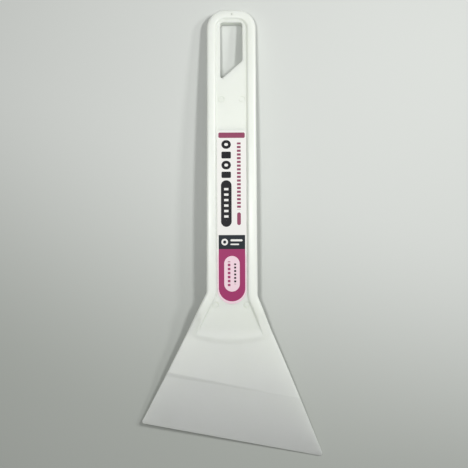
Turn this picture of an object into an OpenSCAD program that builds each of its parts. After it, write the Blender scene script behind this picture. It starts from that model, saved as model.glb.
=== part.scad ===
// Soft plastic scraper with a slanted flexible blade: one white moulding and
// the printed sticker that lies in the recess of its handle.
// It lies on its back. X runs across the handle, Y along it towards the hang
// hole, Z up. The origin is on the ground under the middle of the whole length.

/* [Overall] */
// Length along the bow from the long working corner to the hanging end
total_l = 158.4; // [130:0.1:220]
// Radius of the gentle arch that the whole moulding is bowed to
bow_r = 600; // [350:10:1500]

/* [Handle] */
// Width of the handle
handle_w = 17.2; // [15:0.1:26]
// Thickness from the back to the crest of the rims
rim_t = 4.2; // [3.6:0.1:7]
// Depth of the recess between the rims
recess_d = 0.85; // [0.4:0.05:1.1]
// Width of a rim's crest, with its outer rounding
crest_w = 2.55; // [2:0.05:3.4]
// Run of the sloping wall from the crest down to the recess
slope_run = 0.9; // [0.3:0.05:1.5]
// Radius of the outer top edge
edge_r = 0.8; // [0.3:0.05:1.2]
// Radius of the slight crown across a rim's crest
crown_r = 7; // [4:0.5:20]
// Radius of the two corners at the hanging end
end_r = 6.7; // [5:0.1:7.4]

/* [Hang hole] */
// Width of the hang hole
hole_w = 7.8; // [5:0.1:9]
// Length of the hole's long side
hole_long = 20.7; // [17:0.1:26]
// Length of the hole's short side
hole_short = 13.8; // [8:0.1:15]
// Web between the hole and the rim at the hanging end
hole_web = 1; // [0.6:0.1:3]
// Radius of the hole's corners
hole_r = 0.9; // [0.3:0.1:1.5]
// Radius of the corner at the tip of its slanted end
hole_tip_r = 0.6; // [0.2:0.1:1]

/* [Blade] */
// Width of the blade across its two working corners
blade_w = 65; // [45:1:90]
// Slant of the working edge, in degrees
edge_slant = 10.8; // [4:0.1:16]
// Distance along the handle's axis from the long side's working corner to its throat
long_side = 58; // [50:0.5:70]
// The same distance on the short side
short_side = 46.8; // [40:0.1:56]
// Radius of the throats, where the rims turn out along the blade
throat_r = 4; // [2:0.5:8]
// Radius of the two working corners
corner_r = 0.9; // [0.4:0.1:3]
// Thickness of the blade just past the arched step
blade_t = 2; // [1.6:0.05:2.2]
// Thickness that the middle of the blade thins down to
blade_thin_t = 1.25; // [1:0.05:1.5]
// Thickness of the flexible lip
lip_t = 0.8; // [0.5:0.05:0.95]
// Width of the lip, square to the working edge
lip_w = 20; // [8:0.5:24]

/* [Finger rest] */
// Distance from the neck to the crown of the arched step
rest_l = 18.2; // [15:0.1:24]
// Radius of the arched step, seen from above
rest_r = 45; // [30:1:90]
// Thickness of the finger rest at the step
rest_t = 2.4; // [2.25:0.05:2.8]
// Distance from the neck to the line where rims and rest start to fall away
fall_start = 5.4; // [5:0.1:8]
// Angle by which they fall away, in degrees
fall_angle = 6; // [3:0.1:8]
// Distance from the step's crown back to where the ends of the rims reach the rest
nose_back = 1; // [0:0.1:3]
// Angle at which the ends of the rims come down, in degrees
nose_angle = 12; // [9:0.5:25]

/* [Pin marks] */
// Diameter of an ejector pin's mark
pin_d = 2.3; // [1:0.1:3]
// Width and depth of the fine groove round a mark
pin_ring = 0.15; // [0.05:0.05:0.3]
// Offset from the middle of the pair near the hang hole
pin_top_x = 3.6; // [2:0.1:3.8]
// Distance of that pair from the lower end of the hang hole
pin_top_y = 6.9; // [3:0.1:11]
// Offset from the middle of the pair on the finger rest
pin_rest_x = 5.35; // [5:0.05:6]
// Shift of that pair towards the blade's short side
pin_rest_shift = 0.35; // [0:0.05:0.6]
// Distance of that pair from the neck
pin_rest_y = 5.3; // [5:0.1:8]

/* [Sticker] */
// Length of the sticker
label_l = 60.2; // [40:0.5:66]
// Clearance between the sticker and the foot of each rim
label_gap = 0.1; // [0.05:0.05:0.8]
// Thickness of the sticker
label_t = 0.12; // [0.08:0.01:0.3]
// Radius of the two corners at the sticker's straight end
label_r = 0.8; // [0.2:0.1:3]
// Distance by which the sticker's round end passes the neck
label_past = 4.9; // [0:0.1:4.9]

/* [Hidden] */

big = 400;
least = 0.01;
bow_fn = 1440;
arc_fn = 96;
arc_steps = 8;
edge_step = 18;
crown_steps = 3;
rim_steps = 10;

// A rim is drawn this far past the outline, where it is cut, and into the web.
edge_past = 0.05;
foot_past = 0.3;
// Reach of the core that joins the hanging end to the bowed handle.
core_reach = 1;
// Length over which the fall of the rims sets in, and slope of the lip's step.
fall_blend = 4;
lip_slope = 45;

web_t = rim_t - recess_d;
foot_w = crest_w + slope_run;
wall_top = rim_t - edge_r;
label_w = handle_w - 2 * (foot_w + label_gap);
half_w = handle_w / 2;
half_blade = blade_w / 2;

// The moulding is drawn in a frame of its own: the origin is on the back at the
// neck, where the first rim starts to turn, and Y runs along the handle there.
// Its long surfaces turn about one axis, which runs along X bow_r below the neck.
edge_rise = blade_w * tan(edge_slant);
long_angle = atan((half_blade - half_w) / long_side);
short_angle = atan((half_blade - half_w) / short_side);
long_bend = throat_r * tan(long_angle / 2);
short_bend = throat_r * tan(short_angle / 2);
corner_y = -max(long_side + long_bend, edge_rise + short_side + short_bend);
long_throat_y = corner_y + long_side;
short_throat_y = corner_y + edge_rise + short_side;
lip_y = corner_y + edge_rise / 2 + lip_w / cos(edge_slant);
rest_y = -rest_l;
fall_y = -fall_start;
handle_l = total_l + corner_y - end_r;
end_phi = phi_at(handle_l);
hole_y = end_r - foot_w - hole_web;

// It lies on the long working corner and on the hanging end.
corner_z = sqrt(bow_r * bow_r - corner_y * corner_y) - bow_r;
end_y = bow_r * sin(end_phi) + end_r * cos(end_phi);
end_z = bow_r * (cos(end_phi) - 1) - end_r * sin(end_phi);
lie = atan((end_z - corner_z) / (end_y - corner_y));
near_y = min([for (p = blade_outline()) p[1]]) * cos(lie) + corner_z * sin(lie);
far_y = end_y * cos(lie) + end_z * sin(lie) + wall_top * sin(end_phi + lie);

// Angle round the bow at the distance y from the neck, to a thousandth of a degree.
function phi_at(y) = round(y / bow_r * 180 / PI * 1000) / 1000;

// Points of the arc that rounds the corner p between the points a and b.
function unit(v) = v / norm(v);
function corner_arc(a, p, b, r) =
    let (
        ua = unit(a - p),
        ub = unit(b - p),
        half = acos(ua * ub) / 2,
        centre = p + unit(ua + ub) * r / sin(half),
        start = p + ua * r / tan(half) - centre,
        end = p + ub * r / tan(half) - centre,
        a0 = atan2(start[1], start[0]),
        turn = atan2(end[1], end[0]) - a0,
        sweep = turn > 180 ? turn - 360 : turn < -180 ? turn + 360 : turn
    )
    [for (i = [0:arc_steps])
        centre + r * [cos(a0 + sweep * i / arc_steps), sin(a0 + sweep * i / arc_steps)]];

// The points, with each corner rounded to its own radius.
function rounded(points, radii) =
    let (n = len(points))
    [for (i = [0:n - 1])
        each radii[i] > 0
            ? corner_arc(points[(i + n - 1) % n], points[i], points[(i + 1) % n], radii[i])
            : [points[i]]];

// Outline of the blade from the neck to the working edge, seen from above.
function blade_outline() = rounded(
    [
        [half_w, 0], [half_w, long_throat_y], [half_blade, corner_y],
        [-half_blade, corner_y + edge_rise], [-half_w, short_throat_y], [-half_w, 0]
    ],
    [0, throat_r, corner_r, corner_r, throat_r, 0]
);

// Points of a rim's section, to a thousandth of a millimetre, down to -below. Its
// outer wall stands a little past x = 0, and its slope runs on into the web.
function crown_z(x) = rim_t - crown_r + sqrt(crown_r * crown_r - pow(x + crest_w / 2, 2));
function rim_profile(below) =
    let (
        edge_x = edge_past - edge_r,
        edge = [for (a = [0:edge_step:90 - edge_step]) [edge_x + edge_r * cos(a), wall_top + edge_r * sin(a)]],
        crown = [for (i = [0:crown_steps]) edge_x - (crest_w + edge_x) * i / crown_steps],
        points = [
            [-foot_w - foot_past, -below],
            [edge_past, -below],
            each edge,
            each [for (x = crown) [x, crown_z(x)]],
            [-foot_w - foot_past, web_t - foot_past * recess_d / slope_run]
        ]
    )
    [for (q = points) [round(q[0] * 1000) / 1000, round(min(q[1], crown_z(q[0])) * 1000) / 1000]];

// Lays the moulding down on the ground, with the middle of its length at the origin.
module lie_down() {
    translate([0, -(near_y + far_y) / 2, corner_y * sin(lie) - corner_z * cos(lie)])
        rotate([-lie, 0, 0])
            children();
}

// Places its children t above the back, phi degrees round the bow from the neck,
// and tips them down towards the blade by angle.
module on_bow(phi, t = 0, angle = 0) {
    translate([0, (bow_r + t) * sin(phi), (bow_r + t) * cos(phi) - bow_r])
        rotate([angle - phi, 0, 0])
            children();
}

// Everything under the bowed surface that lies t above the back.
module under_bow(t) {
    translate([0, 0, -bow_r])
        rotate([0, 90, 0])
            cylinder(r = bow_r + t, h = 2 * blade_w, center = true, $fn = bow_fn);
}

// Everything under a like surface that falls away by angle from the line t above
// the back at y.
module under_fall(y, t, angle) {
    on_bow(phi_at(y), t, angle)
        translate([0, 0, -t])
            under_bow(t);
}

// Section of one rim, with its outer wall at x = 0 and its back at y = 0.
module rim_section() {
    intersection() {
        polygon(rim_profile(0));
        translate([-half_w, 0])
            square([half_w, rim_t]);
    }
}

// Section of the whole handle, back at y = 0.
module handle_section() {
    translate([-half_w + foot_w / 2, 0])
        square([handle_w - foot_w, web_t]);
    for (side = [0, 1])
        mirror([side, 0])
            translate([half_w, 0])
                rim_section();
}

// Turns the section that it is given round the bow, from the neck to phi.
module bow_sweep(phi) {
    translate([0, 0, -bow_r])
        rotate([0, -90, 0])
            rotate_extrude(angle = phi, $fn = bow_fn)
                translate([bow_r, 0])
                    rotate(-90)
                        children();
}

// The rounded hanging end, which runs straight on from the bow. A core in the
// middle of the web reaches across the joint and makes one solid of the two.
module hanging_end() {
    flat = handle_w - 2 * end_r;
    web_x = half_w - foot_w / 2;
    web_y = end_r - foot_w / 2;
    on_bow(end_phi) {
        linear_extrude(web_t)
            polygon(rounded(
                [[web_x, 0], [web_x, web_y], [-web_x, web_y], [-web_x, 0]],
                [0, end_r - foot_w / 2, end_r - foot_w / 2, 0]
            ));
        translate([-flat / 2, end_r, 0])
            rotate([90, 0, 90])
                linear_extrude(flat)
                    rim_section();
        for (side = [0, 1])
            mirror([side, 0, 0])
                translate([flat / 2, 0, 0])
                    rotate_extrude(angle = 90, $fn = arc_fn)
                        translate([end_r, 0])
                            rim_section();
    }
    bow_sweep(phi_at(handle_l + core_reach))
        translate([-web_x, web_t / 4])
            square([2 * web_x, web_t / 2]);
}

// Hole to hang the scraper from, a slot with one slanted end.
module hang_hole() {
    side = hole_w / 2;
    on_bow(end_phi)
        translate([0, 0, -rim_t])
            linear_extrude(3 * rim_t)
                polygon(rounded(
                    [[-side, hole_y], [side, hole_y], [side, hole_y - hole_short], [-side, hole_y - hole_long]],
                    [hole_r, hole_r, hole_r, hole_tip_r]
                ));
}

// Places along a rim's outer wall from the neck, each with the direction there:
// straight to the bend, round it, and on along the blade's side edge.
function rim_path(lead, angle) =
    let (
        centre = [half_w + throat_r, -lead],
        start = centre - throat_r * [cos(angle), sin(angle)],
        step = (rest_l + rim_t) / cos(angle) / rim_steps
    )
    [
        each lead > least ? [[half_w, 0, 0]] : [],
        each [for (i = [0:arc_steps])
            let (a = angle * i / arc_steps)
            [centre[0] - throat_r * cos(a), centre[1] - throat_r * sin(a), a]],
        each [for (i = [1:rim_steps])
            [start[0] + i * step * sin(angle), start[1] - i * step * cos(angle), angle]]
    ];

// Height that the rims and the rest lose at y, by the bow and by their own fall.
function drop(y) =
    let (past = fall_y - y + fall_blend / 2)
    bow_r - sqrt(bow_r * bow_r - y * y)
        + tan(fall_angle) * (past < 0 ? 0 : past < fall_blend ? past * past / fall_blend / 2 : past - fall_blend / 2);

// One rim past the neck, lofted along its path. It reaches below the back and a
// little past the outline, to be cut there.
module rim_loft(lead, angle) {
    path = rim_path(lead, angle);
    profile = rim_profile(rim_t);
    n = len(profile);
    last = len(path) - 1;
    polyhedron(
        points = [for (w = path, q = profile)
            let (x = w[0] + q[0] * cos(w[2]), y = w[1] + q[0] * sin(w[2]))
            [x, y, q[1] - drop(y)]],
        faces = [
            [for (j = [0:n - 1]) j],
            [for (j = [n - 1:-1:0]) last * n + j],
            each [for (i = [0:last - 1], j = [0:n - 1])
                each
                    let (a = i * n + j, b = i * n + (j + 1) % n)
                    [[a, a + n, b], [b, a + n, b + n]]]
        ]
    );
}

module blade_rims() {
    rim_loft(-long_throat_y - long_bend, long_angle);
    mirror([1, 0, 0])
        rim_loft(-short_throat_y - short_bend, short_angle);
}

// Web and finger rest are drawn out to the middle of each rim only.
function rest_side(throat_y, angle) =
    let (x = half_w - foot_w / 2, y = throat_y - foot_w / 2 * tan(angle / 2))
    [[x, 0], [x, y], [x + rest_l * sin(angle), y - rest_l * cos(angle)]];

module rest_prism() {
    right = rest_side(long_throat_y, long_angle);
    left = rest_side(short_throat_y, short_angle);
    linear_extrude(big / 4, center = true)
        polygon([
            right[0], right[1], right[2],
            [-left[2][0], left[2][1]], [-left[1][0], left[1][1]], [-left[0][0], left[0][1]]
        ]);
}

// Rims, web and finger rest between the neck and the arched step, whose wall is
// part of a cone that leans back by 45 degrees.
module shoulder() {
    step_z = sqrt(pow(bow_r + blade_t, 2) - rest_y * rest_y) - bow_r;
    intersection() {
        translate([0, rest_y + rest_r, step_z - rest_r / 2])
            cylinder(r1 = rest_r * 3 / 2, r2 = rest_r / 2, h = rest_r, $fn = arc_fn * 4);
        union() {
            intersection() {
                under_fall(rest_y + nose_back, rest_t, nose_angle);
                union() {
                    blade_rims();
                    intersection() {
                        rest_prism();
                        under_bow(web_t);
                        under_fall(fall_y, web_t, fall_angle);
                    }
                }
            }
            intersection() {
                rest_prism();
                under_bow(rest_t);
            }
        }
    }
}

// The flexible blade, which thins towards a lip of even thickness.
module blade() {
    lip_z = sqrt(pow(bow_r + lip_t, 2) - lip_y * lip_y) - bow_r;
    under_bow(lip_t);
    intersection() {
        under_bow(blade_t);
        under_fall(rest_y, blade_t, atan((blade_t - blade_thin_t) / (rest_y - lip_y)));
        translate([0, lip_y, lip_z])
            rotate([0, 0, -edge_slant])
                rotate([-lip_slope, 0, 0])
                    translate([-big / 2, 0, -big / 2])
                        cube(big);
    }
}

// Everything past the neck, cut to the outline and to the bowed back.
module blade_end() {
    difference() {
        intersection() {
            linear_extrude(big / 4, center = true)
                polygon(blade_outline());
            union() {
                shoulder();
                blade();
            }
        }
        under_bow(0);
    }
}

// Fine groove round the mark of an ejector pin, in the web at the distance y from the neck.
module pin_mark(x, y) {
    on_bow(phi_at(y), web_t - pin_ring)
        translate([x, 0, 0])
            difference() {
                cylinder(d = pin_d, h = rim_t, $fn = arc_fn);
                translate([0, 0, -rim_t])
                    cylinder(d = pin_d - 2 * pin_ring, h = 3 * rim_t, $fn = arc_fn);
            }
}

module scraper_body() {
    color("whitesmoke")
        lie_down()
            difference() {
                union() {
                    bow_sweep(end_phi)
                        handle_section();
                    hanging_end();
                    blade_end();
                }
                hang_hole();
                for (x = [-1, 1]) {
                    pin_mark(x * pin_top_x, handle_l + hole_y - hole_long - pin_top_y);
                    pin_mark(x * pin_rest_x - pin_rest_shift, -pin_rest_y);
                }
            }
}

// The sticker lies on the recess floor and follows its bow.
module label() {
    round_y = label_w / 2 - label_past;
    color("palevioletred")
        lie_down()
            intersection() {
                linear_extrude(big / 4, center = true) {
                    polygon(rounded(
                        [
                            [-label_w / 2, round_y], [label_w / 2, round_y],
                            [label_w / 2, label_l - label_past], [-label_w / 2, label_l - label_past]
                        ],
                        [0, 0, label_r, label_r]
                    ));
                    translate([0, round_y])
                        circle(d = label_w, $fn = arc_fn);
                }
                difference() {
                    under_bow(web_t + label_t);
                    under_bow(web_t);
                }
            }
}

scraper_body();
label();
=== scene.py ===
"""Looks of a soft plastic scraper: the white moulding, its printed sticker and a small studio.

The scraper lies on its back. X runs across the handle, Y along it towards the
hang hole and Z up, in metres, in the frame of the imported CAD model.
"""

import logging
from collections.abc import Callable, Sequence
from dataclasses import dataclass, field
from enum import Enum
from functools import cache, partial
from math import atan, atan2, cos, hypot, pi, radians, sin, sqrt, tan

import bpy
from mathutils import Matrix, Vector

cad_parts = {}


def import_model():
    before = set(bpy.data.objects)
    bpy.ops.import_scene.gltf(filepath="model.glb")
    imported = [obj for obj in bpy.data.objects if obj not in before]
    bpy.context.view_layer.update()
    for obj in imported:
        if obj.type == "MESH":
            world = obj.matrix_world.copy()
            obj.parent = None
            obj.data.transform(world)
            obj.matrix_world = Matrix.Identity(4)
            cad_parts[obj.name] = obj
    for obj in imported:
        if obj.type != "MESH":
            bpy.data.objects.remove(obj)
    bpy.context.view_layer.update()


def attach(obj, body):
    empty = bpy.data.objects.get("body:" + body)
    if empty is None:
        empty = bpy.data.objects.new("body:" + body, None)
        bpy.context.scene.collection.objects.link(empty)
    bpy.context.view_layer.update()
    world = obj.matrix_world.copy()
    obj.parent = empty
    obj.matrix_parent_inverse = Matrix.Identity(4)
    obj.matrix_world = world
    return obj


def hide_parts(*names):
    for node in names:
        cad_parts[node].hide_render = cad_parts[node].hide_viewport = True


logging.basicConfig(level=logging.INFO, format="%(message)s")
LOG = logging.getLogger("scraper")

MM = 0.001
SHARP = 1e-6
UNIT = (0.0, 1.0)

Pair = tuple[float, float]
Colour = tuple[float, float, float, float]
Node = tuple[Vector, float, float, float]
Edge = Callable[[float], float]
Place = Callable[[int, int], Vector]
Object = bpy.types.Object
Material = bpy.types.Material
Socket = bpy.types.NodeSocket
Inputs = dict[str | int, object]


# Small helpers


def srgb(hex_code: str) -> Colour:
    """Turns an sRGB hex colour into the linear one that a shader takes."""

    def linear(channel: float) -> float:
        """Undoes the sRGB curve for one channel."""
        return channel / 12.92 if channel <= 0.04045 else ((channel + 0.055) / 1.055) ** 2.4

    return *(linear(int(hex_code[i : i + 2], 16) / 255) for i in (0, 2, 4)), 1.0


def only(obj: Object) -> None:
    """Makes one object the active and only selected one."""
    bpy.ops.object.select_all(action="DESELECT")
    obj.select_set(True)
    bpy.context.view_layer.objects.active = obj


def active(name: str) -> Object:
    """Names the object that an operator has just made."""
    obj = bpy.context.view_layer.objects.active
    obj.name = name
    obj.data.name = name
    return obj


def placed_sheet(name: str, rows: int, columns: int, place: Place) -> Object:
    """Makes a grid with its points where place(row, column) says."""
    bpy.ops.mesh.primitive_grid_add(x_subdivisions=columns - 1, y_subdivisions=rows - 1)
    sheet = active(name)
    flat = [value for i in range(rows) for j in range(columns) for value in place(i, j)]
    sheet.data.vertices.foreach_set("co", flat)
    sheet.data.update()
    return sheet


def apply_modifier(obj: Object, kind: str, **settings: object) -> None:
    """Adds a modifier with its settings and applies it."""
    only(obj)
    modifier = obj.modifiers.new(kind.lower(), kind)
    for key, value in settings.items():
        setattr(modifier, key, value)
    bpy.ops.object.modifier_apply(modifier=modifier.name)


def weld(piece: Object, gap: float, closed: bool) -> None:
    """Merges points within the gap, and turns a closed skin's faces outwards."""
    only(piece)
    bpy.ops.object.mode_set(mode="EDIT")
    bpy.ops.mesh.select_all(action="SELECT")
    bpy.ops.mesh.remove_doubles(threshold=gap)
    if closed:
        bpy.ops.mesh.normals_make_consistent(inside=False)
    bpy.ops.object.mode_set(mode="OBJECT")


def dress(piece: Object, crease: float, material: Material) -> None:
    """Smooths a piece up to a crease, in degrees, and gives it its material."""
    only(piece)
    bpy.ops.object.shade_smooth_by_angle(angle=radians(crease))
    piece.data.materials.clear()
    piece.data.materials.append(material)


def ramp(value: float, start: float, end: float) -> float:
    """How far a value has come from start to end, from 0 to 1."""
    return min(max((value - start) / (end - start), 0.0), 1.0)


def eased(part: float) -> float:
    """The same part with a soft start and end."""
    return part * part * (3 - 2 * part)


class Shader:
    """A material's node tree, with one small function that adds a node."""

    def __init__(self, name: str) -> None:
        """Starts an empty material of that name."""
        self.material = bpy.data.materials.new(name)
        self.material.use_nodes = True
        self.tree = self.material.node_tree
        self.tree.nodes.clear()

    def add(self, kind: str, inputs: Inputs | None = None, **settings: object) -> bpy.types.Node:
        """Adds a node, sets its properties and fills or links its inputs.

        Args:
            kind: The node's type, without "ShaderNode".
            inputs: A value or another node's output socket for each input.
            settings: The node's own properties.

        Returns:
            The new node.
        """
        node = self.tree.nodes.new("ShaderNode" + kind)
        for key, value in settings.items():
            setattr(node, key, value)
        for key, value in (inputs or {}).items():
            if isinstance(value, Socket):
                self.tree.links.new(value, node.inputs[key])
            else:
                node.inputs[key].default_value = value
        return node

    def place(self) -> tuple[Socket, Socket, Socket]:
        """Returns the place in the object's frame, whole and as x and y."""
        place = self.add("TexCoord").outputs["Object"]
        split = self.add("SeparateXYZ", {"Vector": place})
        return place, split.outputs["X"], split.outputs["Y"]

    def math(self, operation: str, *values: object) -> Socket:
        """Adds a Math node and returns its result."""
        return self.add("Math", dict(enumerate(values)), operation=operation).outputs[0]

    def noise(self, place: Socket, size: float, detail: float, swirl: float = 0.0) -> Socket:
        """Adds a noise with features of about that size."""
        inputs = {"Vector": place, "Scale": 1 / size, "Detail": detail, "Distortion": swirl}
        return self.add("TexNoise", inputs).outputs["Fac"]

    def bump(self, height: Socket, distance: float, strength: float = 1, **more: Socket) -> Socket:
        """Adds a bump, over another normal if one is given."""
        inputs = {"Height": height, "Distance": distance, "Strength": strength}
        return self.add("Bump", inputs | more).outputs["Normal"]

    def remap(self, value: Socket, to: Pair = UNIT, source: Pair = UNIT, **more: object) -> Socket:
        """Maps a value from the source range to another one."""
        names = ("To Min", "To Max", "From Min", "From Max")
        inputs = {"Value": value} | dict(zip(names, to + source))
        return self.add("MapRange", inputs, **more).outputs["Result"]

    def mix(self, factor: Socket, under: Socket | Colour, over: Colour) -> Socket:
        """Mixes one colour over another."""
        inputs = {"Factor": factor, "A": under, "B": over}
        return self.add("Mix", inputs, data_type="RGBA").outputs["Result"]

    def finish(self, inputs: Inputs) -> Material:
        """Adds the surface and returns the material."""
        surface = self.add("BsdfPrincipled", inputs)
        self.add("OutputMaterial", {"Surface": surface.outputs["BSDF"]})
        return self.material


# Finishes


@dataclass(frozen=True)
class MouldedPolypropylene:
    """White polypropylene with the satin skin of a polished mould.

    It lets light in a few millimetres deep, so a thick wall looks whiter; its thin lip has painted
    shade.
    """

    name: str = "white_polypropylene_moulded"
    colour: str = "e8ece4"
    flow_colour: str = "e3e8de"
    flow_size: float = 24 * MM
    flow_swirl: float = 0.6
    # Painted shade: the share of the base colour left on the thin lip, and how soft its start is.
    lip_shade_share: float = 0.94
    lip_shade_blur: float = 0.15 * MM
    roughness: float = 0.36
    rougher: Pair = (-0.04, 0.06)
    ior: float = 1.49
    scatter: float = 0.62
    scatter_depth: float = 5.1 * MM
    scatter_radius: tuple[float, float, float] = (1.0, 1.0, 0.92)
    wave_size: float = 9 * MM
    wave_height: float = 0.01 * MM
    # The skin's own grain is finer than a pixel, so it is drawn four times as coarse.
    grain_size: float = 0.25 * MM
    grain_height: float = 0.0012 * MM

    def build(self, lip_y: float, lip_slope: float) -> Material:
        """Builds the material, with painted shade that greys the thin lip.

        Args:
            lip_y: Where the lip's step, and with it the painted shade, crosses the handle's axis,
                in metres.
            lip_slope: How far the step's line falls over its run across.

        Returns:
            The material.
        """
        shader = Shader(self.name)
        place, across, along = shader.place()
        # Painted shade: past the lip's step the base colour is dimmed, standing in for the shade
        # seen through the thin lip.
        past = shader.math("MULTIPLY_ADD", across, lip_slope, along)
        step = (lip_y - self.lip_shade_blur, lip_y + self.lip_shade_blur)
        lip = shader.remap(past, (self.lip_shade_share, 1.0), step)
        wave = shader.noise(place, self.wave_size, 2.0)
        grain = shader.noise(place, self.grain_size, 3.0)
        wavy = shader.bump(wave, self.wave_height)
        low, high = (self.roughness + more for more in self.rougher)
        flow = shader.noise(place, self.flow_size, 2.0, self.flow_swirl)
        tone = shader.mix(flow, srgb(self.colour), srgb(self.flow_colour))
        lip_shaded_tone = shader.add("VectorMath", {0: tone, "Scale": lip}, operation="SCALE")
        return shader.finish(
            {
                "Base Color": lip_shaded_tone.outputs["Vector"],
                "Roughness": shader.remap(wave, (low, high)),
                "IOR": self.ior,
                "Subsurface Weight": self.scatter,
                "Subsurface Radius": self.scatter_radius,
                "Subsurface Scale": self.scatter_depth,
                "Normal": shader.bump(grain, self.grain_height, Normal=wavy),
            }
        )


@dataclass(frozen=True)
class PrintedFilm:
    """Paper-backed film with offset print: flat inks, a soft sheen, a pale cut edge."""

    name: str = "printed_sticker_film"
    paper: str = "e6e5e1"
    edge: str = "e9cfd8"
    maroon: str = "8e4560"
    black: str = "16161a"
    slate: str = "20272d"
    magenta: str = "9c3766"
    roughness: float = 0.5
    rougher: float = 0.05
    ior: float = 1.5
    specular: float = 0.12
    coat: float = 0.03
    coat_roughness: float = 0.25
    fibre_size: float = 0.6 * MM
    fibre_height: float = 0.004 * MM

    def build(self, sheet: "Sticker") -> Material:
        """Builds the print for one sticker.

        Args:
            sheet: The sticker, which gives the bands their places.

        Returns:
            The material.
        """
        shader = Shader(self.name)
        place, across, along = shader.place()

        def beyond(value: Socket, middle: float, half: float) -> Socket:
            """How far a place lies past a bar's half length."""
            away = shader.math("ABSOLUTE", shader.math("SUBTRACT", value, middle))
            return shader.math("SUBTRACT", away, half)

        def mask_of(mark: Mark) -> Socket:
            """Mask of a rounded bar or of a row of dashes, 1 inside."""
            corner = mark.corner * MM
            dx = beyond(across, mark.x * MM, mark.width * MM / 2 - corner)
            dy = beyond(along, mark.y * MM, mark.length * MM / 2 - corner)
            ox, oy = shader.math("MAXIMUM", dx, 0.0), shader.math("MAXIMUM", dy, 0.0)
            square = shader.math("MULTIPLY_ADD", ox, ox, shader.math("MULTIPLY", oy, oy))
            inner = shader.math("MINIMUM", shader.math("MAXIMUM", dx, dy), 0.0)
            distance = shader.math("ADD", shader.math("SQRT", square), inner)
            bar = shader.math("LESS_THAN", distance, corner)
            if not mark.period:
                return bar
            turn = shader.math("FRACT", shader.math("DIVIDE", along, mark.period * MM))
            return shader.math("MULTIPLY", bar, shader.math("LESS_THAN", turn, mark.share))

        printed: Socket | Colour = srgb(self.paper)
        for mark in sheet.artwork(self):
            printed = shader.mix(mask_of(mark), printed, srgb(mark.ink))
        fibre = shader.noise(place, self.fibre_size, 4.0)
        sheen = (self.roughness - self.rougher, self.roughness + self.rougher)
        return shader.finish(
            {
                "Base Color": printed,
                "Roughness": shader.remap(fibre, sheen),
                "IOR": self.ior,
                "Specular IOR Level": self.specular,
                "Coat Weight": self.coat,
                "Coat Roughness": self.coat_roughness,
                "Normal": shader.bump(fibre, self.fibre_height),
            }
        )


@dataclass(frozen=True)
class MattCard:
    """Pale matt card that the scraper lies on, with a faint tooth and painted shade that darkens it
    towards the bottom left.
    """

    name: str = "pale_matt_card"
    colour: str = "ced1cd"
    # Painted shade: the card darkens towards this colour along y, and a little across x, where the
    # lamps' light falls off.
    painted_shade_colour: str = "adb1ab"
    fade: Pair = (0.03, -0.085)
    shade_fade_across: float = 0.35
    roughness: float = 0.85
    specular: float = 0.2
    tooth_size: float = 0.8 * MM
    tooth_height: float = 0.01 * MM
    tooth_strength: float = 0.6

    def build(self) -> Material:
        """Builds the material and returns it."""
        shader = Shader(self.name)
        place, across, along = shader.place()
        tooth = shader.noise(place, self.tooth_size, 3.0)
        # Painted shade: the lamps' fall-off painted into the card's colour.
        away = shader.math("MULTIPLY_ADD", across, self.shade_fade_across, along)
        part = shader.remap(away, source=self.fade, interpolation_type="SMOOTHSTEP")
        return shader.finish(
            {
                "Base Color": shader.mix(part, srgb(self.colour), srgb(self.painted_shade_colour)),
                "Roughness": self.roughness,
                "Specular IOR Level": self.specular,
                "Normal": shader.bump(tooth, self.tooth_height, self.tooth_strength),
            }
        )


# Pieces


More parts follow.
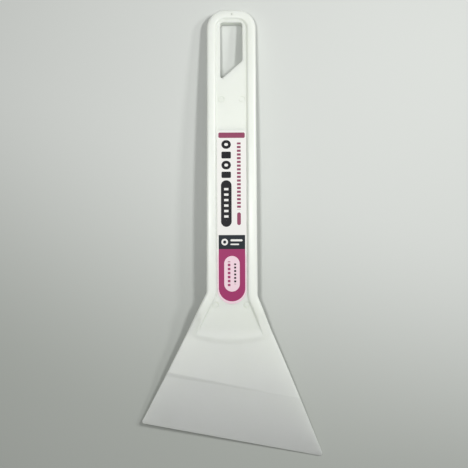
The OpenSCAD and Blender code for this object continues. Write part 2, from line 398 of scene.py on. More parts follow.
@dataclass(frozen=True)
class Sizes:
    """Sizes of the moulding in millimetres and degrees."""

    # As the part's source has them.
    total_l: float = 158.4
    bow_r: float = 600.0
    handle_w: float = 17.2
    rim_t: float = 4.2
    recess_d: float = 0.85
    crest_w: float = 2.55
    slope_run: float = 0.9
    edge_r: float = 0.8
    crown_r: float = 7.0
    end_r: float = 6.7
    hole_w: float = 7.8
    hole_long: float = 20.7
    hole_short: float = 13.8
    hole_web: float = 1.0
    hole_r: float = 0.9
    hole_tip_r: float = 0.6
    blade_w: float = 65.0
    edge_slant: float = 10.8
    long_side: float = 58.0
    short_side: float = 46.8
    throat_r: float = 4.0
    corner_r: float = 0.9
    blade_t: float = 2.0
    lip_t: float = 0.8
    lip_w: float = 20.0
    rest_l: float = 18.2
    rest_r: float = 45.0
    rest_t: float = 2.4
    fall_start: float = 5.4
    fall_angle: float = 6.0
    fall_blend: float = 4.0
    nose_back: float = 1.0
    nose_angle: float = 12.0
    pin_d: float = 2.3
    pin_top: Pair = (3.6, 6.9)
    pin_rest: Pair = (5.35, 5.3)
    pin_rest_shift: float = 0.35
    # Finer than the solids: the inner slope of the rims, the roundings along the
    # blade's rim, the back and the hole, the soft steps, which lie a little nearer
    # the working edge, the taper of blade and lip, the wider neck and blade.
    rim_crest: float = 2.68
    rim_foot: float = 3.38
    blade_thin_t: float = 1.1
    blade_edge_r: float = 0.5
    lip_edge_r: float = 0.28
    work_edge_r: float = 0.2
    back_edge_r: float = 0.2
    hole_edge_r: float = 0.15
    rest_out: float = 1.0
    rest_ramp: float = 0.22
    side_ramp: float = 0.08
    side_rise: float = 0.013
    lip_out: float = 0.9
    lip_turn: float = 0.9
    lip_ramp: float = 0.35
    lip_high_t: float = 0.95
    lip_edge_t: float = 0.44
    neck_widening: float = 0.3
    blade_shift: Pair = (-0.15, 0.28)

    def __post_init__(self) -> None:
        """Works out the lengths that follow from the sizes."""
        slant = radians(self.edge_slant)
        reach = (self.blade_w - self.handle_w) / 2
        angles = [atan(reach / side) for side in (self.short_side, self.long_side)]
        bends = [self.throat_r * tan(angle / 2) for angle in angles]
        rise = self.blade_w * tan(slant)
        corner_y = -max(self.long_side + bends[1], rise + self.short_side + bends[0])
        throats = (corner_y + rise + self.short_side, corner_y + self.long_side)
        edge_y, half_w = corner_y + rise / 2, self.blade_w / 2
        foot_w = self.crest_w + self.slope_run
        handle_l = self.total_l + corner_y - self.end_r
        lip_y = edge_y + self.lip_w / cos(slant)
        vars(self).update(
            slant=slant,
            tilt=tan(slant),
            cosine=cos(slant),
            angles=angles,
            leads=[-y - bend for y, bend in zip(throats, bends)],
            half_w=self.handle_w / 2,
            half_hole=self.hole_w / 2,
            hole_top=handle_l + self.end_r - foot_w - self.hole_web,
            web_t=self.rim_t - self.recess_d,
            foot_w=foot_w,
            corners=[Vector((-half_w, corner_y + rise)), Vector((half_w, corner_y))],
            edge_y=edge_y,
            lip_y=lip_y,
            step_line=-self.rest_l - self.rest_out,
            lip_line=lip_y - self.lip_out,
            handle_l=handle_l,
        )


class Bow:
    """Places points of the straight plan on the bowed moulding as it lies on the ground."""

    def __init__(self, size: Sizes, low_y: float) -> None:
        """Works out how it lies, on its long corner and its hanging end.

        Args:
            size: The moulding's sizes.
            low_y: The lowest y of its rounded blade, in the plan.
        """
        self.r = size.bow_r
        self.handle_l = size.handle_l
        turn = size.handle_l / self.r
        corner = size.corners[1].y
        corner_z = self.sag(corner)
        end_y = self.r * sin(turn) + size.end_r * cos(turn)
        end_z = self.r * (cos(turn) - 1) - size.end_r * sin(turn)
        lie = atan((end_z - corner_z) / (end_y - corner))
        self.cos, self.sin = cos(lie), -sin(lie)
        near = low_y * self.cos - corner_z * self.sin
        wall_top = size.rim_t - size.edge_r
        far = end_y * self.cos - end_z * self.sin + wall_top * sin(turn + lie)
        self.shift_y = -(near + far) / 2
        self.shift_z = -corner * self.sin - corner_z * self.cos

    def sag(self, y: float) -> float:
        """Height of the back at y, on the blade's side."""
        return sqrt(self.r * self.r - y * y) - self.r

    def lay(self, x: float, y: float, t: float) -> Vector:
        """Places a point of the plan in the shared frame.

        Args:
            x: Across the handle, from its middle.
            y: Along the handle, from the neck.
            t: Height over the back.

        Returns:
            The point in metres.
        """
        if y < 0:
            v, w = y, t + self.sag(y)
        else:
            turn = min(y, self.handle_l) / self.r
            over = max(y - self.handle_l, 0.0)
            v = (self.r + t) * sin(turn) + over * cos(turn)
            w = (self.r + t) * cos(turn) - self.r - over * sin(turn)
        along = v * self.cos - w * self.sin + self.shift_y
        return MM * Vector((x, along, v * self.sin + w * self.cos + self.shift_z))


def smooth_min(a: float, b: float, blend: float) -> float:
    """Lower of two heights, with a fillet where they cross."""
    near = max(blend - abs(a - b), 0.0) / blend
    return min(a, b) - near * near * blend / 4


def smooth_max(a: float, b: float, blend: float) -> float:
    """Higher of two heights, with a fillet where they cross."""
    return -smooth_min(-a, -b, blend)


class Relief:
    """Heights of the moulding's top face over its bowed back, in millimetres."""

    # Fillets where two surfaces cross: over the nose, at the rim's foot and the
    # bank, along the web and the blade, and at the lip's low step.
    NOSE_BLEND, FOOT_BLEND, FACE_BLEND, LIP_BLEND = 0.3, 0.16, 0.12, 0.1
    BANK_W = 3.0
    # Stretches along Y in which the rounding of the outer edge changes.
    WORK_RUN = 5.0
    RIM_RUN = (1.0, 8.0)

    def __init__(self, size: Sizes) -> None:
        """Keeps the sizes and the slopes that follow from them."""
        self.size = size
        self.slope = size.recess_d / (size.rim_foot - size.rim_crest)
        self.fall_rate = tan(radians(size.fall_angle))
        self.nose_rate = tan(radians(size.nose_angle))
        self.thinning = (size.blade_t - size.blade_thin_t) / (size.step_line - size.lip_line)
        self.slant = radians(size.edge_slant - size.lip_turn)

    def fall(self, y: float) -> float:
        """Height that rims and web have lost at y."""
        blend = self.size.fall_blend
        past = -self.size.fall_start - y + blend / 2
        if past < 0:
            return 0.0
        return self.fall_rate * (past * past / blend / 2 if past < blend else past - blend / 2)

    def rim(self, d: float) -> float:
        """Height of the rim's crest and inner slope, d inside its wall."""
        size = self.size
        crown = size.rim_t - (d - size.crest_w / 2) ** 2 / size.crown_r / 2
        foot = size.web_t - (d - size.rim_foot) * self.slope
        return smooth_min(crown, foot, self.FOOT_BLEND)

    def blade(self, x: float, y: float) -> float:
        """Height of the blade, its low slanted step and its thinning lip."""
        size, blend = self.size, self.LIP_BLEND
        past = (y - size.lip_line) * cos(self.slant) + x * sin(self.slant)
        thin = size.blade_t + self.thinning * (y - size.step_line)
        thin = smooth_min(size.blade_t, thin, blend)
        taper = (size.lip_high_t - size.lip_edge_t) * min(past, 0.0) / size.lip_w
        lip = size.lip_high_t + taper
        return smooth_max(lip, smooth_min(thin, lip + size.lip_ramp * past, blend), blend)

    def at(self, x: float, y: float, d: float) -> float:
        """Height of the top face, without the rounding of its outer edge.

        Args:
            x: Across the handle.
            y: Along it, from the neck.
            d: Distance from the outer wall.

        Returns:
            The height over the back.
        """
        size, fall = self.size, self.fall(y)
        top = smooth_max(self.rim(d) - fall, size.web_t - fall, self.FACE_BLEND)
        if y > -size.fall_start:
            return top
        behind = size.rest_r - hypot(x, y - size.step_line - size.rest_r)
        inner = eased(ramp(d, size.crest_w / 2, size.crest_w / 2 + self.BANK_W))
        rate = size.side_ramp + (size.rest_ramp - size.side_ramp) * inner
        nose = size.rest_t + self.nose_rate * (behind - size.nose_back)
        top = smooth_max(smooth_min(top, nose, self.NOSE_BLEND), size.rest_t, self.FACE_BLEND)
        bank = size.blade_t + (rate + size.side_rise * max(behind, 0.0)) * behind
        return smooth_max(smooth_min(top, bank, self.FOOT_BLEND), self.blade(x, y), self.FACE_BLEND)

    def edge_radius(self, y: float) -> float:
        """Radius of the outer top edge at y, wide on the rims."""
        size = self.size
        near, far = (size.step_line + run for run in self.RIM_RUN)
        stops = (
            (size.edge_y, size.work_edge_r),
            (size.edge_y + self.WORK_RUN, size.lip_edge_r),
            (size.lip_y, size.blade_edge_r),
            (near, size.blade_edge_r),
            (far, size.edge_r),
        )
        radius = size.work_edge_r
        for (low, start), (high, end) in zip(stops, stops[1:]):
            radius += (end - start) * ramp(y, low, high)
        return radius


def drop_at_edge(inside: float, radius: float) -> float:
    """Height that a rounded edge has lost, that far inside its wall."""
    if inside >= radius:
        return 0.0
    return radius - sqrt(radius * radius - (radius - inside) ** 2)


@dataclass(frozen=True)
class Corner:
    """A sharp corner of the plan with its two unit directions, to be rounded."""

    at: Vector
    first: Vector
    second: Vector
    radius: float

    def soften(self, point: Vector, inset: float) -> Vector:
        """Moves a point on one of the corner's sides on to its rounding.

        Args:
            point: A point on the side, or on its parallel at the inset.
            inset: Distance of that parallel, into the corner.

        Returns:
            The point itself, or its place on the arc.
        """
        angle = self.first.angle(self.second)
        radius = self.radius - inset
        if radius <= SHARP:
            return point
        tip = self.at + (self.first + self.second) * (inset / sin(angle))
        away = point - tip
        tangent = radius / tan(angle / 2)
        if away.length >= tangent:
            return point
        middle = -(self.first + self.second).normalized()
        centre = tip - middle * (radius / sin(angle / 2))
        side = self.first if away.dot(self.first) > away.dot(self.second) else self.second
        turn = (pi - angle) / 2 * away.length / tangent
        across = (side - middle * side.dot(middle)).normalized()
        return centre + radius * (middle * cos(turn) + across * sin(turn))


def soften(point: Vector, inset: float, corners: Sequence[Corner]) -> Vector:
    """Moves a point on to the rounding of the corner that it lies in."""
    for corner in corners:
        moved = corner.soften(point, inset)
        if moved is not point:
            return moved
    return point


def spread(start: float, *runs: Pair) -> list[float]:
    """Steps on from start through runs, each an end and about how wide a step is."""
    values = [start]
    for end, step in runs:
        count = max(1, round(abs(end - start) / step))
        values += [start + (end - start) * i / count for i in range(1, count + 1)]
        start = end
    return values


@dataclass(frozen=True)
class Station:
    """A line across the rim beside the hang hole, from the outer wall to the hole."""

    wall: Vector
    inward: Vector
    edge: int
    part: float

    def at(self, inside: float) -> Vector:
        """Gives the point at a distance inside the outer wall."""
        return self.wall + self.inward * inside


class Plan:
    """Lays a grid of rows and columns over the moulding, along its features.

    Rows run across: along the slanted working edge and the lip's step, round the
    arched step, straight across the handle and along the hang hole's slanted end.
    Columns run along: beside the outer walls, on the rims, and over the middle.
    """

    ARC = tuple(radians(a) for a in (0, 18, 36, 54, 72, 90))
    # The first rows' distances from the working edge and the columns' from the wall,
    # with BETWEEN more columns between the rounding of the edge and the first of them.
    EDGE = (0.4, 0.6, 0.8, 1.05, 1.3, 1.7, 2.2, 3.0)
    INNER = (1.3, 1.8, 2.2, 2.45, 2.58, 2.66, 2.74, 2.82, 2.92, 3.08, 3.2, 3.28, 3.36, 3.44, 3.56)
    STRIP = (1 / 3, 2 / 3)
    BETWEEN = 2
    HOLE_STEPS = 22
    FAR = 99.0
    MEETING_ROUNDS = 30
    # Rows are straight this far either side of the neck, and take up the hole's slant
    # over HOLE_RUN. The stations beside the hole lose it over STATION_RUN.
    NECK = 3.0
    HOLE_RUN = 25.0
    STATION_RUN = 9.0
    STATION_TURN = 0.09
    ARCH_REACH = 30.0
    # Where the outer wall stands further out, and how far inside it that is felt.
    WIDE_TOP = 62.0
    WIDE_FOOT = (-16.0, -4.0)
    SIDE_TOP = -12.0
    WIDE_RIM = 2.4

    def __init__(self, size: Sizes) -> None:
        """Works out rows, columns and corners from the sizes."""
        self.size = size
        half_in = size.half_w - self.INNER[-1]
        self.rim_columns = len(self.ARC) + self.BETWEEN + len(self.INNER)
        loop = size.half_hole + size.hole_edge_r
        hole = [-loop + 2 * loop * i / self.HOLE_STEPS for i in range(self.HOLE_STEPS + 1)]
        strip = [half_in + (loop - half_in) * part for part in self.STRIP]
        across = [-x for x in strip] + hole + strip[::-1]
        self.middle = [(x + half_in) / (2 * half_in) for x in across]
        self.columns = 2 * self.rim_columns + len(self.middle)
        self.hole_slope = (size.hole_long - size.hole_short) / size.hole_w
        self.hole_corners = self.find_hole_corners()
        self.blade_corners = self.find_blade_corners()
        tip, side = (self.hole_corner(i, size.hole_edge_r) for i in range(2))
        self.last_row = (tip.y + side.y) / 2
        edge, lip, step = size.edge_y, size.lip_line, size.step_line
        # Each run's end and its spacing, which is close where the surface bends.
        runs = (
            (lip - 0.9, 1.2),
            (lip + 1.9, 0.1),
            (step - 0.5, 0.7),
            (step + 2.2, 0.1),
            (-self.NECK, 0.3),
            (self.NECK, 0.6),
            (self.last_row - 1.0, 2.0),
            (self.last_row, 0.5),
        )
        self.rows = [edge] * len(self.ARC) + [edge + e / size.cosine for e in self.EDGE]
        self.rows += spread(edge + 3.6, *runs)
        self.stations = self.find_stations()

    def find_blade_corners(self) -> list[Corner]:
        """Gives the two working corners, the short side's first."""
        size = self.size
        along = Vector((size.cosine, -sin(size.slant)))
        found = []
        for at, angle, sign in zip(size.corners, size.angles, (1, -1)):
            up = Vector((sign * sin(angle), cos(angle)))
            found.append(Corner(at, up, sign * along, size.corner_r))
        return found

    def find_hole_corners(self) -> list[Corner]:
        """Gives the hole's four corners, from its tip on."""
        size = self.size
        half, top = size.half_hole, size.hole_top
        low = (-half, top - size.hole_long), (half, top - size.hole_short)
        points = [Vector(at) for at in (*low, (half, top), (-half, top))]
        ways = [(points[(i + 1) % 4] - points[i]).normalized() for i in range(4)]
        radii = (size.hole_tip_r, size.hole_r, size.hole_r, size.hole_r)
        return [Corner(points[i], -ways[i - 1], ways[i], radii[i]) for i in range(4)]

    def hole_corner(self, index: int, out: float) -> Vector:
        """Gives a corner of the loop that runs round the hole, that far out."""
        corner = self.hole_corners[index]
        angle = corner.first.angle(corner.second)
        return corner.at - (corner.first + corner.second) * (out / sin(angle))

    def hole_point(self, edge: int, part: float, out: float) -> Vector:
        """Gives a point of that loop, a part along one of its four edges."""
        ends = (edge, (edge + 1) % 4)
        near, far = (self.hole_corner(index, out) for index in ends)
        return soften(near.lerp(far, part), -out, [self.hole_corners[index] for index in ends])

    def row_y(self, row: float, x: float) -> float:
        """Gives the y at x of the row that crosses the axis at row."""
        size = self.size
        slant = ramp(row, size.step_line, size.lip_line)
        arch = 1 - slant if row < size.step_line else ramp(row, -self.NECK, size.step_line)
        hole = ramp(row, self.last_row - self.HOLE_RUN, self.last_row)
        sag = size.rest_r - sqrt(size.rest_r**2 - min(abs(x), self.ARCH_REACH) ** 2)
        return row - slant * x * size.tilt + arch * sag + hole * x * self.hole_slope

    def wall_x(self, side: int, y: float, d: float) -> float:
        """Gives how far out a side's wall stands at y, less d."""
        size = self.size
        angle, lead = size.angles[side], size.leads[side]
        radius, centre = size.throat_r + d, size.half_w + size.throat_r
        low = -lead - radius * sin(angle)
        wider = self.widening(side, y) * max(1 - d / self.WIDE_RIM, 0.0)
        if y >= -lead:
            return size.half_w - d + wider
        if y >= low:
            return centre - sqrt(radius**2 - (y + lead) ** 2) + wider
        return centre - radius * cos(angle) + (low - y) * tan(angle) + wider

    def widening(self, side: int, y: float) -> float:
        """Gives how much further out than the solid the wall stands at y."""
        size = self.size
        neck = ramp(y, self.WIDE_TOP, 0.0) * eased(ramp(y, *self.WIDE_FOOT))
        along = ramp(y, self.SIDE_TOP, size.corners[side].y)
        return size.neck_widening * neck + size.blade_shift[side] * sin(pi * along)

    def meet(self, side: int, row: float, d: float) -> Vector:
        """Finds where a row meets the line d inside a side's wall."""
        sign, y = (1 if side else -1), row
        for _ in range(self.MEETING_ROUNDS):
            x = sign * self.wall_x(side, y, d)
            y = self.row_y(row, x)
        return Vector((x, y))

    def inside(self, column: int, radius: float) -> float:
        """Gives a rim column's distance from a wall with that edge radius."""
        past = column - len(self.ARC)
        if past < 0:
            return radius * (1 - cos(self.ARC[column]))
        if past < self.BETWEEN:
            return radius + (self.INNER[0] - radius) * (past + 1) / (self.BETWEEN + 1)
        return self.INNER[past - self.BETWEEN]

    def split(self, column: int) -> tuple[int | None, int]:
        """Says on which side's rim a column lies, if any, and its number there."""
        if column < self.rim_columns:
            return 0, column
        if column >= self.columns - self.rim_columns:
            return 1, self.columns - 1 - column
        return None, column - self.rim_columns

    @cache
    def row_ends(self, level: float) -> list[Vector]:
        """Gives the points where a row leaves the rims for the middle."""
        return [self.meet(side, level, self.INNER[-1]) for side in (0, 1)]

    def middle_point(self, row: int, level: float, index: int) -> Vector:
        """Gives a point of a row between the rims."""
        radius = self.size.hole_edge_r
        strip, last = len(self.STRIP), len(self.middle) - 1
        left, right = self.row_ends(level)
        if row < len(self.rows) - 1:
            x = left.x + (right.x - left.x) * self.middle[index]
            return Vector((x, self.row_y(level, x)))
        if index < strip:
            return left.lerp(self.hole_point(0, 0.0, radius), self.STRIP[index])
        if index > last - strip:
            return right.lerp(self.hole_point(0, 1.0, radius), self.STRIP[last - index])
        return self.hole_point(0, (index - strip) / self.HOLE_STEPS, radius)

    def node(self, row: int, column: int, edge: Edge) -> Node:
        """Gives a point of the grid.

        Args:
            row: Number of the row, from the working edge.
            column: Number of the column, from the short side.
            edge: Radius of the outer edge for a row.

        Returns:
            The point, its distances from the side's and from the nearest wall,
            and the radius of the outer edge.
        """
        size, level = self.size, self.rows[row]
        if row < len(self.ARC):
            level += edge(level) * (1 - cos(self.ARC[row])) / size.cosine
        radius, inner = edge(level), self.FAR
        side, index = self.split(column)
        if side is None:
            point = self.middle_point(row, level, index)
        else:
            inner = self.inside(index, radius)
            point = self.meet(side, level, inner)
        inset = min(inner, (level - size.edge_y) * size.cosine)
        return soften(point, inset, self.blade_corners), inner, inset, radius

    def end_node(self, number: int, column: int, edge: Edge) -> Node:
        """Gives a point of the hanging end's grid in the same way, by its station."""
        at, radius = self.stations[number], edge(self.last_row)
        index = column - self.rim_columns
        if index < 0:
            inner = self.inside(column, radius)
            return at.at(inner), inner, inner, radius
        point = self.hole_point(at.edge, at.part, self.size.hole_edge_r)
        if index < len(self.STRIP):
            point = at.at(self.INNER[-1]).lerp(point, self.STRIP[index])
        return point, self.FAR, self.FAR, radius

    def find_stations(self) -> list[Station]:
        """Lists the stations round the hole.

        Returns:
            The stations from the hole's tip up, over and down again.
        """
        size = self.size
        tip, side, top = (self.hole_corner(i, size.hole_edge_r) for i in range(3))
        starts = {-1: tip.y, 1: side.y}
        flat = size.half_w - size.end_r
        up, across = top.y - size.handle_l, side.x - flat
        meeting = atan2(up, across)

        def beside(sign: int, y: float) -> tuple[int, float]:
            """Gives a side's edge of the hole and the part along it at y."""
            part = (y - starts[sign]) / (top.y - starts[sign])
            return (1, part) if sign > 0 else (3, 1 - part)

        def over(x: float) -> tuple[int, float]:
            """Gives the hole's top edge and the part along it at x."""
            return 2, (side.x - x) / (2 * side.x)

        def straight(sign: int, y: float) -> Station:
            """Gives the station on a straight side that meets the hole's loop at y."""
            fade = max(1 - (y - starts[sign]) / self.STATION_RUN, 0.0)
            rise = sign * fade * self.hole_slope
            wall = Vector((sign * size.half_w, y + rise * (size.half_w - side.x)))
            return Station(wall, Vector((-sign, -rise)), *beside(sign, y))

        def corner(sign: int, angle: float) -> Station:
            """Gives the station on a rounded corner, at an angle from its side."""
            centre = Vector((sign * flat, size.handle_l))
            way = Vector((sign * cos(angle), sin(angle)))
            if angle < meeting:
                at = beside(sign, centre.y + across * tan(angle))
            else:
                at = over(sign * (flat + up / tan(angle)))
            return Station(centre + way * size.end_r, -way, *at)

        def side_ys(sign: int, close: float) -> list[float]:
            """Steps up one side, close together at the hole's corner."""
            low, high = starts[sign], size.handle_l
            return spread(low, (low + close, 0.2), (high - 0.8, 1.2), (high, 0.4))[:-1]

        turns = spread(0.0, (meeting, self.STATION_TURN), (pi / 2, self.STATION_TURN))
        end_y = size.handle_l + size.end_r
        found = [straight(-1, y) for y in side_ys(-1, 2.0)]
        found += [corner(-1, angle) for angle in turns]
        for x in spread(-flat, (flat, 0.6))[1:-1]:
            found.append(Station(Vector((x, end_y)), Vector((0.0, -1.0)), *over(x)))
        found += [corner(1, angle) for angle in reversed(turns)]
        return found + [straight(1, y) for y in reversed(side_ys(1, 1.2))]


@dataclass
class Moulding:
    """The one-piece scraper: handle, rims, hang hole, finger rest and blade."""

    finish: MouldedPolypropylene = field(default_factory=MouldedPolypropylene)
    size: Sizes = field(default_factory=Sizes)
    weld_gap: float = 0.0005 * MM
    crease: float = 35.0
    levels: int = 6
    hole_levels: int = 4
    groove_parts: tuple[int, int] = (48, 12)
    groove_sink: float = 0.6
    groove_ahead: float = 0.5
    top_groove_r: float = 0.13
    rest_groove_r: float = 0.19
    speck_parts: tuple[int, int] = (24, 12)
    speck_r: float = 0.42
    speck_x: float = 0.2
    speck_back: float = 1.75
    speck_scale: tuple[float, float, float] = (0.5, 0.85, 2.2)

    def __post_init__(self) -> None:
        """Makes the plan, the relief and the bow."""
        self.plan, self.relief = Plan(self.size), Relief(self.size)
        edge = [self.plan.node(0, j, self.back_radius)[0].y for j in range(self.plan.columns)]
        self.bow = Bow(self.size, min(edge))

    def back_radius(self, _: float) -> float:
        """Radius of the back's edge, the same at any y."""
        return self.size.back_edge_r

    def face(self, node: Callable[..., Node], row: int, column: int, upper: bool) -> Vector:
        """Places a grid's point on the top face or on the back.

        Args:
            node: The grid, a method of the plan.
            row: Number of the row.
            column: Number of the column.
            upper: Whether it is the top face.

        Returns:
            The point in the shared frame.
        """
        edge = self.relief.edge_radius if upper else self.back_radius
        point, inner, inset, radius = node(row, column, edge)
        height = drop_at_edge(inset, radius)
        if upper:
            height = self.relief.at(point.x, point.y, max(inner, radius)) - height
        return self.bow.lay(point.x, point.y, height)

    def hole_profile(self) -> list[Pair]:
        """Lists the hole's points: how far out of its wall and how high."""
        radius, web = self.size.hole_edge_r, self.size.web_t
        outs = [radius * (1 - cos(turn)) for turn in self.plan.ARC]
        step = (2 * radius - web) / (self.hole_levels + 1)
        profile = [(out, web - drop_at_edge(out, radius)) for out in reversed(outs)]
        profile += [(0.0, web - radius + step * (i + 1)) for i in range(self.hole_levels)]
        return profile + [(out, drop_at_edge(out, radius)) for out in outs]

    def wall(self, name: str, node: Callable[..., Node], line: Sequence[Pair]) -> Object:
        """Makes the wall between a line of the top face and that of the back."""
        upper, lower = ([self.face(node, *at, side) for at in line] for side in (True, False))
        last = self.levels - 1
        return placed_sheet(
            name, self.levels, len(line), lambda i, j: upper[j].lerp(lower[j], i / last)
        )

    def build(self) -> Object:
        """Lays the sheets of top, back, walls and hole, and welds them to one skin.

        Returns:
            The finished piece.
        """
        plan = self.plan
        rows, columns, stations = len(plan.rows), plan.columns, len(plan.stations)
        across = plan.rim_columns + len(plan.STRIP) + 1
        ring = [(0, i / plan.HOLE_STEPS) for i in range(plan.HOLE_STEPS + 1)]
        ring += [(at.edge, at.part) for at in reversed(plan.stations)][1:]
        profile = self.hole_profile()

        def hole(at: int, level: int) -> Vector:
            """Places a point of the hole's rounded edges and its wall."""
            out, height = profile[level]
            return self.bow.lay(*plan.hole_point(*ring[at], out), height)

        grids = (("", plan.node, rows, columns), ("end_", plan.end_node, stations, across))
        lines = (
            (plan.node, [(0, j) for j in range(columns)]),
            (plan.node, [(i, 0) for i in range(rows)]),
            (plan.node, [(i, columns - 1) for i in range(rows)]),
            (plan.end_node, [(k, 0) for k in range(stations)]),
        )
        sheets = [
            placed_sheet(start + side, high, wide, partial(self.face, node, upper=side == "top"))
            for start, node, high, wide in grids
            for side in ("top", "back")
        ]
        sheets.append(placed_sheet("hole", len(ring), len(profile), hole))
        sheets += [self.wall(f"wall_{number}", *line) for number, line in enumerate(lines)]
        only(sheets[0])
        for sheet in sheets:
            sheet.select_set(True)
        bpy.ops.object.join()
        piece = active("moulding")
        weld(piece, self.weld_gap, closed=True)
        self.cut_marks(piece)
        lip_y = self.bow.lay(0, self.size.lip_line, self.size.lip_t).y
        dress(piece, self.crease, self.finish.build(lip_y, tan(self.relief.slant)))
        return piece

    def cut_marks(self, piece: Object) -> None:
        """Cuts the grooves round the ejector pins' marks, and the gate's speck."""
        size, relief = self.size, self.relief
        top_y = size.hole_top - size.hole_long - size.pin_top[1]
        marks = (
            (size.pin_top[0], 0.0, top_y, self.top_groove_r),
            (size.pin_rest[0], size.pin_rest_shift, -size.pin_rest[1], self.rest_groove_r),
        )
        for out, shift, y, radius in marks:
            for x in (-out - shift, out - shift):
                at, ahead = (
                    self.bow.lay(x, v, relief.at(x, v, Plan.FAR) - radius * self.groove_sink)
                    for v in (y, y + self.groove_ahead)
                )
                bpy.ops.mesh.primitive_torus_add(
                    major_segments=self.groove_parts[0],
                    minor_segments=self.groove_parts[1],
                    major_radius=(size.pin_d / 2 - radius) * MM,
                    minor_radius=radius * MM,
                    location=at,
                    rotation=(atan2(ahead.z - at.z, ahead.y - at.y), 0.0, 0.0),
                )
                self.cut(piece, active("pin_groove"))
        speck_y = size.handle_l + size.end_r - self.speck_back
        bpy.ops.mesh.primitive_uv_sphere_add(
            segments=self.speck_parts[0],
            ring_count=self.speck_parts[1],
            radius=self.speck_r * MM,
            location=self.bow.lay(self.speck_x, speck_y, relief.rim(self.speck_back)),
        )
        speck = active("gate_speck")
        speck.scale = self.speck_scale
        self.cut(piece, speck)

    def cut(self, piece: Object, cutter: Object) -> None:
        """Takes a cutter's volume out of the piece and deletes the cutter."""
        apply_modifier(piece, "BOOLEAN", operation="DIFFERENCE", solver="EXACT", object=cutter)
        bpy.data.objects.remove(cutter)


@dataclass(frozen=True)
class Mark:
    """A printed bar in millimetres, or a row of dashes when it has a period."""

    x: float
    y: float
    width: float
    length: float
    corner: float
    ink: str
    period: float = 0.0
    share: float = 1.0


@dataclass
class Sticker:
    """The printed sticker in the handle's recess, straight at one end, round at the other."""

    moulding: Moulding
    finish: PrintedFilm = field(default_factory=PrintedFilm)
    length: float = 60.2
    gap: float = 0.1
    thickness: float = 0.07
    corner: float = 0.8
    past_neck: float = 4.9
    lift: float = 0.004
    border: float = 0.44
    round_border: float = 0.9
    crease: float = 30.0
    rows: tuple[int, int, int] = (24, 60, 8)
    columns: int = 25

    def __post_init__(self) -> None:
        """Works out the sticker's width and its ends in the shared frame."""
        size = self.moulding.size
        self.width = size.handle_w - 2 * (size.foot_w + self.gap)
        self.start, self.end = -self.past_neck, self.length - self.past_neck
        bow = self.moulding.bow
        self.low, self.high = (bow.lay(0, y, size.web_t).y for y in (self.start, self.end))

    def half_width(self, y: float) -> float:
        """Gives half the sticker's width at y, round at one end."""
        half = self.width / 2
        if y < self.start + half:
            return sqrt(max(half**2 - (self.start + half - y) ** 2, 0.0))
        past = y - self.end + self.corner
        if past > 0:
            return half - self.corner + sqrt(max(self.corner**2 - past**2, 0.0))
        return half

    def stops(self) -> list[float]:
        """Lists the rows' places, closer together at the sticker's ends."""
        half, turn = self.width / 2, pi / 2
        low, middle, high = self.rows
        first, last = self.start + half, self.end - self.corner
        values = [first - half * cos(turn * i / low) for i in range(low)]
        values += [first + (last - first) * i / middle for i in range(middle)]
        return values + [last + self.corner * sin(turn * i / high) for i in range(high + 1)]

    def artwork(self, inks: PrintedFilm) -> list[Mark]:
        """Lays out the print in the order in which it is printed.

        Args:
            inks: The finish, which names the colours.

        Returns:
            The pale edge, the long field, the dark band and the round end.
        """
        low, high = self.low / MM, self.high / MM
        reach = self.width / 2 - self.border
        inner = 2 * reach
        band_low, band_top = low + 19.1, low + 24.0
        round_y, band_y = low + self.round_border + reach, (band_low + band_top) / 2
        field_y, end_y = (high + band_top) / 2, round_y + 5.0
        left, right = -1.9, 2.5
        heading = [(13.3, 3.0, 1.5), (9.6, 2.4, 0.4), (6.1, 3.0, 1.5), (2.7, 2.2, 0.4)]
        marks = [
            Mark(0.0, low + 10.2, self.width, 21.0, self.width / 2, inks.edge),
            Mark(0.0, high - 1.7, inner, 1.9, 0.5, inks.maroon),
        ]
        marks += [Mark(left, field_y + y, 3.3, tall, r, inks.black) for y, tall, r in heading]
        marks += [Mark(left, field_y + y, 1.3, 1.0, 0.5, inks.paper) for y, *_ in heading[::2]]
        return marks + [
            Mark(left, field_y - 7.3, 3.7, 16.2, 1.85, inks.black),
            Mark(left, field_y - 7.3, 1.5, 12.0, 0.0, inks.paper, 1.9, 0.42),
            Mark(right, field_y + 2.3, 1.3, 23.4, 0.0, inks.maroon, 1.3, 0.6),
            Mark(right, field_y - 12.6, 1.3, 4.4, 0.65, inks.maroon),
            Mark(0.0, band_y, inner, band_top - band_low, 0.0, inks.slate),
            Mark(-right, band_y, 2.3, 2.3, 1.15, inks.paper),
            Mark(-right, band_y, 1.1, 1.1, 0.55, inks.slate),
            Mark(1.6, band_y + 0.6, 4.2, 0.7, 0.35, inks.paper),
            Mark(1.0, band_y - 0.8, 3.0, 0.5, 0.25, inks.paper),
            Mark(0.0, round_y, inner, inner, reach, inks.magenta),
            Mark(0.0, (band_low + round_y) / 2, inner, band_low - round_y, 0.0, inks.magenta),
            Mark(0.0, end_y, 5.4, 12.4, 2.7, inks.edge),
            Mark(-1.0, end_y, 0.9, 8.6, 0.0, inks.magenta, 1.4, 0.62),
            Mark(1.1, end_y, 0.7, 7.2, 0.0, inks.black, 1.2, 0.55),
        ]

    def build(self) -> Object:
        """Shapes a grid to the sticker, lays it on the recess floor and thickens it.

        Returns:
            The finished piece.
        """
        moulding, stops = self.moulding, self.stops()

        def place(row: int, column: int) -> Vector:
            """Place of a point on the sticker's face."""
            y = stops[row]
            x = self.half_width(y) * (2 * column / (self.columns - 1) - 1)
            floor = moulding.relief.at(x, y, moulding.plan.FAR)
            return moulding.bow.lay(x, y, floor + self.lift + self.thickness)

        piece = placed_sheet("sticker", len(stops), self.columns, place)
        weld(piece, moulding.weld_gap, closed=False)
        apply_modifier(piece, "SOLIDIFY", thickness=self.thickness * MM, offset=-1.0)
        dress(piece, self.crease, self.finish.build(self))
        return piece


# Studio


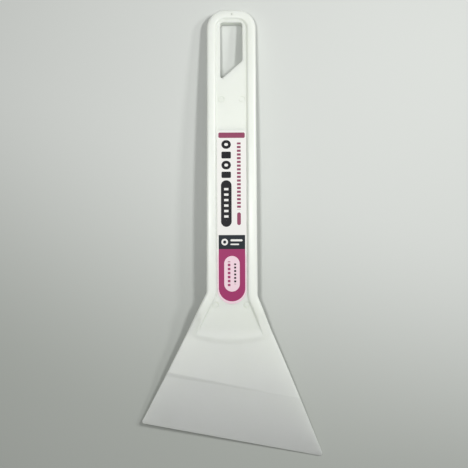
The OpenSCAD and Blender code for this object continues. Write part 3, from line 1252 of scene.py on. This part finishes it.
class LampRole(Enum):
    """What a lamp is for."""

    KEY = "key"
    OVERHEAD = "overhead"
    LOW = "low"


@dataclass(frozen=True)
class Lamp:
    """One soft box, placed by the direction it shines from."""

    role: LampRole
    azimuth: float
    elevation: float
    distance: float
    size: float
    watts: float

    def build(self, target: Vector) -> None:
        """Puts the lamp up and turns it to the target."""
        data = bpy.data.lights.new(self.role.value + "_softbox", "AREA")
        data.shape, data.size, data.energy = "SQUARE", self.size, self.watts
        lamp = bpy.data.objects.new(data.name, data)
        bpy.context.scene.collection.objects.link(lamp)
        azimuth, elevation = radians(self.azimuth), radians(self.elevation)
        flat, rise = cos(elevation), sin(elevation)
        away = Vector((flat * cos(azimuth), flat * sin(azimuth), rise))
        lamp.location = target + away * self.distance
        lamp.rotation_euler = (-away).to_track_quat("-Z", "Y").to_euler()


@dataclass
class Studio:
    """A pale floor, soft boxes, an even surround and the camera above."""

    floor_size: float = 3.0
    card: MattCard = field(default_factory=MattCard)
    lamps: Sequence[Lamp] = (
        Lamp(LampRole.KEY, 29, 60, 0.30, 0.035, 0.375),
        Lamp(LampRole.OVERHEAD, 175, 80.5, 0.32, 0.035, 0.425),
        Lamp(LampRole.LOW, 20, 40, 0.45, 0.06, 0.40),
    )
    target: tuple[float, float, float] = (0.004, 0.022, 0.0)
    surround: float = 0.16
    camera_height: float = 330 * MM
    near_clip: float = 10 * MM
    field_width: float = 166.99 * MM
    sensor: float = 36.0
    camera_x: float = 0.74 * MM
    turn: float = radians(0.2)

    def build(self) -> None:
        """Builds floor, lamps, surround and camera."""
        self.lay_floor()
        for lamp in self.lamps:
            lamp.build(Vector(self.target))
            LOG.info("lamp %s", lamp.role.value)
        self.light_surround()
        self.set_camera()

    def lay_floor(self) -> None:
        """Lays the floor under the scraper."""
        bpy.ops.mesh.primitive_plane_add(size=self.floor_size, location=(0, 0, 0))
        floor = active("floor")
        floor.data.materials.append(self.card.build())

    def light_surround(self) -> None:
        """Sets the even light that comes from all round."""
        world = bpy.data.worlds.new("even_surround")
        world.use_nodes = True
        background = world.node_tree.nodes["Background"]
        background.inputs["Color"].default_value = (1.0, 1.0, 1.0, 1.0)
        background.inputs["Strength"].default_value = self.surround
        bpy.context.scene.world = world

    def set_camera(self) -> None:
        """Hangs the camera over the scraper as in the photograph."""
        data = bpy.data.cameras.new("camera")
        data.sensor_width = self.sensor
        data.lens = self.sensor * self.camera_height / self.field_width
        data.clip_start = self.near_clip
        camera = bpy.data.objects.new("camera", data)
        camera.location = (self.camera_x, 0.0, self.camera_height)
        camera.rotation_euler = (0.0, 0.0, -self.turn)
        bpy.context.scene.collection.objects.link(camera)
        bpy.context.scene.camera = camera


def main() -> None:
    """Builds the pieces in order, dresses them and sets up the studio."""
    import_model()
    form = Moulding()
    moulding = form.build()
    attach(moulding, "root")
    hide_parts("scraper_body")
    LOG.info("moulding: %d faces", len(moulding.data.polygons))
    sticker = Sticker(form).build()
    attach(sticker, "root")
    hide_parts("label")
    LOG.info("sticker: %d faces", len(sticker.data.polygons))
    Studio().build()
    bpy.context.scene.view_settings.view_transform = "Standard"


if __name__ == "__main__":
    main()
